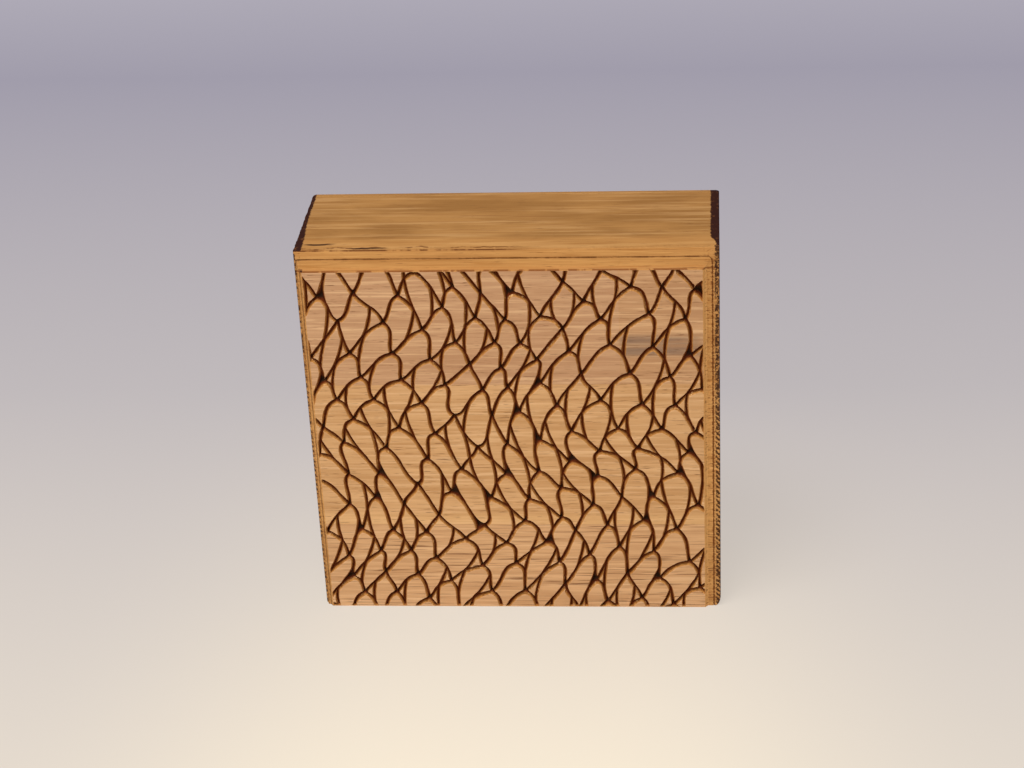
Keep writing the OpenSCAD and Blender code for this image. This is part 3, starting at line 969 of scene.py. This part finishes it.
    def burnt_front(self, from_left, from_right, ragged):
        """Where the scorch runs over the front arrises, in blots and in hatching on the lower part."""
        hatch = self.times(self.plus(self.x, self.z), HATCH_CELLS)
        hatch = self.math("SINE", self.plus(hatch, self.times(self.nick_field, HATCH_SWAY)))
        hatch = self.times(hatch, self.ramp(self.z, 66.0, 48.0, 0.0, 0.12))
        blots = self.plus(self.field((1.6, 0.6, 1.5), 4, 0.7), hatch)
        right = self.ramp(self.plus(from_right, self.times(ragged, 0.8)), 1.25, 1.0)
        right = self.times(right, self.ramp(blots, 0.4, 0.52))
        left = self.ramp(self.plus(from_left, self.times(ragged, 0.5)), 0.55, 0.3)
        left = self.times(left, self.ramp(blots, 0.47, 0.55))
        return self.times(self.largest(right, left), self.ramp(self.depth, 2.4, 1.4, 0.0, 0.92))

    def burnt_edges(self, colour):
        """The scorch runs a little over the arrises of both ends, with a ragged border."""
        from_left, from_right = self.minus(self.x, X_LEFT), self.minus(X_RIGHT, self.x)
        ragged = self.centred(self.noise(self.place, 1.3, 4, 0.7), 1.1)
        top = self.burnt_top(from_left, from_right, ragged)
        front = self.burnt_front(from_left, from_right, ragged)
        return self.mix(self.largest(top, front), colour, self.scorch)

    def surface(self, colour):
        """The shader, with fine relief from the grain, the pores and the rough groove walls."""
        rough = self.times(self.field((1.5, 2.5, 4.0), 3, 0.6), self.wall)
        height = self.plus(self.times(self.fine, 0.5), self.times(self.pore, -0.6))
        height = self.plus(height, self.times(rough, 2.5))
        bump = self.add("ShaderNodeBump", {"Strength": 0.25, "Distance": 0.0001, "Height": height})
        inputs = {"Base Color": colour, "Roughness": ROUGHNESS, "Specular IOR Level": SPECULAR}
        inputs["Normal"] = bump.outputs[0]
        shader = self.add("ShaderNodeBsdfPrincipled", inputs)
        self.add("ShaderNodeOutputMaterial", {"Surface": shader.outputs[0]})


def oak(name, face_tones, board_tones, seed, pores, pore_run=0.22, pore_across=5.5):
    """Material of one stave: its tones, the seed of its grain, and how sparse and large its pores are."""
    material = bpy.data.materials.new(name)
    n = Oak(material, seed, pores, pore_run, pore_across)
    colour = n.mix(n.on_land, n.board(*board_tones), n.face(*face_tones))
    for layer in (n.carving, n.cracks, n.sawn_ends, n.border_marks_and_shade, n.burnt_edges):
        colour = layer(colour)
    n.surface(colour)
    return material


BOARD_UPPER = (srgb(186, 133, 76), srgb(206, 154, 92), srgb(168, 115, 60))
BOARD_MIDDLE = (srgb(198, 144, 85), srgb(216, 164, 100), srgb(180, 126, 69))
BOARD_LOWER = (srgb(191, 138, 80), srgb(209, 158, 96), srgb(172, 120, 64))
FACE_LOWER = (srgb(217, 173, 128), srgb(194, 149, 106))
FACE_MIDDLE = (srgb(214, 170, 122), srgb(192, 146, 98))
FACE_UPPER_LEFT = (srgb(200, 158, 120), srgb(182, 138, 102))
FACE_UPPER_RIGHT = (srgb(200, 156, 114), srgb(180, 136, 98))
FACE_GLUE = (srgb(196, 150, 104), srgb(178, 132, 88))

MATERIALS = {
    "oak_lower": oak("oak_lower", FACE_LOWER, BOARD_LOWER, 1, 0.6, 0.06, 3.6),
    "oak_middle": oak("oak_middle", FACE_MIDDLE, BOARD_MIDDLE, 2, 0.64),
    "oak_upper_left": oak("oak_upper_left", FACE_UPPER_LEFT, BOARD_UPPER, 3, 0.65),
    "oak_upper_right": oak("oak_upper_right", FACE_UPPER_RIGHT, BOARD_UPPER, 3, 0.64),
    "glue": oak("glue", FACE_GLUE, BOARD_LOWER, 3, 0.9),
}


def dress():
    """Makes every piece from the carved block and lays it in the place of its node."""
    block = whole_block()
    slots = {s["node"]: s["material_slot"] for s in frame["record"]["subparts"]}
    for node, slot_name in slots.items():
        lo, hi = [[v / MM for v in corner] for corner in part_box(node)]
        finish_piece(piece_between(block, lo, hi), node, MATERIALS[slot_name])
    block.free()


dress()

# Camera at the photograph's viewing angle: angles in radians, distances in millimetres from its aim
CAMERA_YAW, CAMERA_PITCH, CAMERA_ROLL = -0.0986024, 0.4940181, -0.0511967
CAMERA_DISTANCE = 570.2012
CAMERA_OFFSET = (0.4518, -11.9297)
FOCAL_PIXELS, FRAME_PIXELS, SENSOR = 2344.0, 1024.0, 36.0
AIM = Vector((0.0, MARGIN, 50.0))
CLIP = (0.01, 50)


def add_camera():
    cy, sy = math.cos(CAMERA_YAW), math.sin(CAMERA_YAW)
    cp, sp = math.cos(CAMERA_PITCH), math.sin(CAMERA_PITCH)
    cr, sr = math.cos(CAMERA_ROLL), math.sin(CAMERA_ROLL)
    forward = Vector((sy * cp, cy * cp, -sp))
    right = Vector((cy, -sy, 0))
    up = right.cross(forward)
    right, up = cr * right + sr * up, -sr * right + cr * up
    place = AIM - (CAMERA_OFFSET[0] * right + CAMERA_OFFSET[1] * up + CAMERA_DISTANCE * forward)
    data = bpy.data.cameras.new("camera")
    data.sensor_width = SENSOR
    data.lens = FOCAL_PIXELS / FRAME_PIXELS * SENSOR
    data.clip_start, data.clip_end = CLIP
    camera = bpy.data.objects.new("camera", data)
    camera.matrix_world = Matrix((
        (right.x, up.x, -forward.x, place.x * MM),
        (right.y, up.y, -forward.y, place.y * MM),
        (right.z, up.z, -forward.z, place.z * MM),
        (0, 0, 0, 1),
    ))
    bpy.context.scene.collection.objects.link(camera)
    bpy.context.scene.camera = camera


add_camera()

# Floor and light, in metres
FLOOR_HALF = 6.0
FLOOR_MIDDLE, FLOOR_ASIDE, ASIDE = srgb(246, 233, 212), srgb(226, 216, 204), (0.02, 0.12)
FLOOR_TONES = (
    (-0.09, 0.1, srgb(192, 186, 188)),
    (0.1, 0.36, srgb(164, 160, 175)),
    (0.36, 0.5, srgb(184, 180, 192)),
)
FLOOR_ROUGHNESS = 0.9
FLOOR_GLOW_SHARE = 0.82
WORLD_COLOUR, WORLD_STRENGTH = (1.0, 0.98, 0.95, 1), 0.22
LIGHT_AIM = (0, 0, 0.05)
LAMPS = (
    ("top_light", (-0.15, -0.25, 0.9), (0.4, 0.3), 7.0, (1.0, 0.97, 0.93)),
    ("front_fill", (-0.3, -0.8, 0.6), (0.6, 0.5), 3.2, (1.0, 0.97, 0.94)),
)


def floor_material():
    """A plain pale floor that darkens with the distance; seen directly, it partly glows in its own tone."""
    material = bpy.data.materials.new("floor")
    n = Nodes(material)
    x, y, _ = n.parts(n.add("ShaderNodeTexCoord", {}).outputs["Object"])
    tone = n.mix(n.ramp(n.distance(x), *ASIDE), FLOOR_MIDDLE, FLOOR_ASIDE)
    for start, end, colour in FLOOR_TONES:
        tone = n.mix(n.ramp(y, start, end, smooth=False), tone, colour)
    lit = n.add("ShaderNodeBsdfPrincipled", {"Base Color": tone, "Roughness": FLOOR_ROUGHNESS})
    glow = n.add("ShaderNodeEmission", {"Color": tone, "Strength": 1.0})
    share = n.times(n.add("ShaderNodeLightPath", {}).outputs["Is Camera Ray"], FLOOR_GLOW_SHARE)
    blend = n.add("ShaderNodeMixShader", {0: share, 1: lit.outputs[0], 2: glow.outputs[0]})
    n.add("ShaderNodeOutputMaterial", {"Surface": blend.outputs[0]})
    return material


def add_floor():
    mesh = bpy.data.meshes.new("floor")
    corners = [(-1, -1), (1, -1), (1, 1), (-1, 1)]
    mesh.from_pydata([(a * FLOOR_HALF, b * FLOOR_HALF, 0) for a, b in corners], [], [(0, 1, 2, 3)])
    floor = bpy.data.objects.new("floor", mesh)
    bpy.context.scene.collection.objects.link(floor)
    mesh.materials.append(floor_material())


def add_lamp(name, place, size, power, colour):
    data = bpy.data.lights.new(name, "AREA")
    data.shape = "RECTANGLE"
    data.size, data.size_y = size
    data.energy = power
    data.color = colour
    lamp = bpy.data.objects.new(name, data)
    lamp.location = place
    lamp.rotation_mode = "QUATERNION"
    lamp.rotation_quaternion = (Vector(LIGHT_AIM) - Vector(place)).to_track_quat("-Z", "Y")
    bpy.context.scene.collection.objects.link(lamp)


def add_light():
    world = bpy.data.worlds.new("world")
    bpy.context.scene.world = world
    world.use_nodes = True
    background = world.node_tree.nodes["Background"]
    background.inputs[0].default_value = WORLD_COLOUR
    background.inputs[1].default_value = WORLD_STRENGTH
    for lamp in LAMPS:
        add_lamp(*lamp)


add_floor()
add_light()
bpy.context.scene.view_settings.view_transform = "Standard"
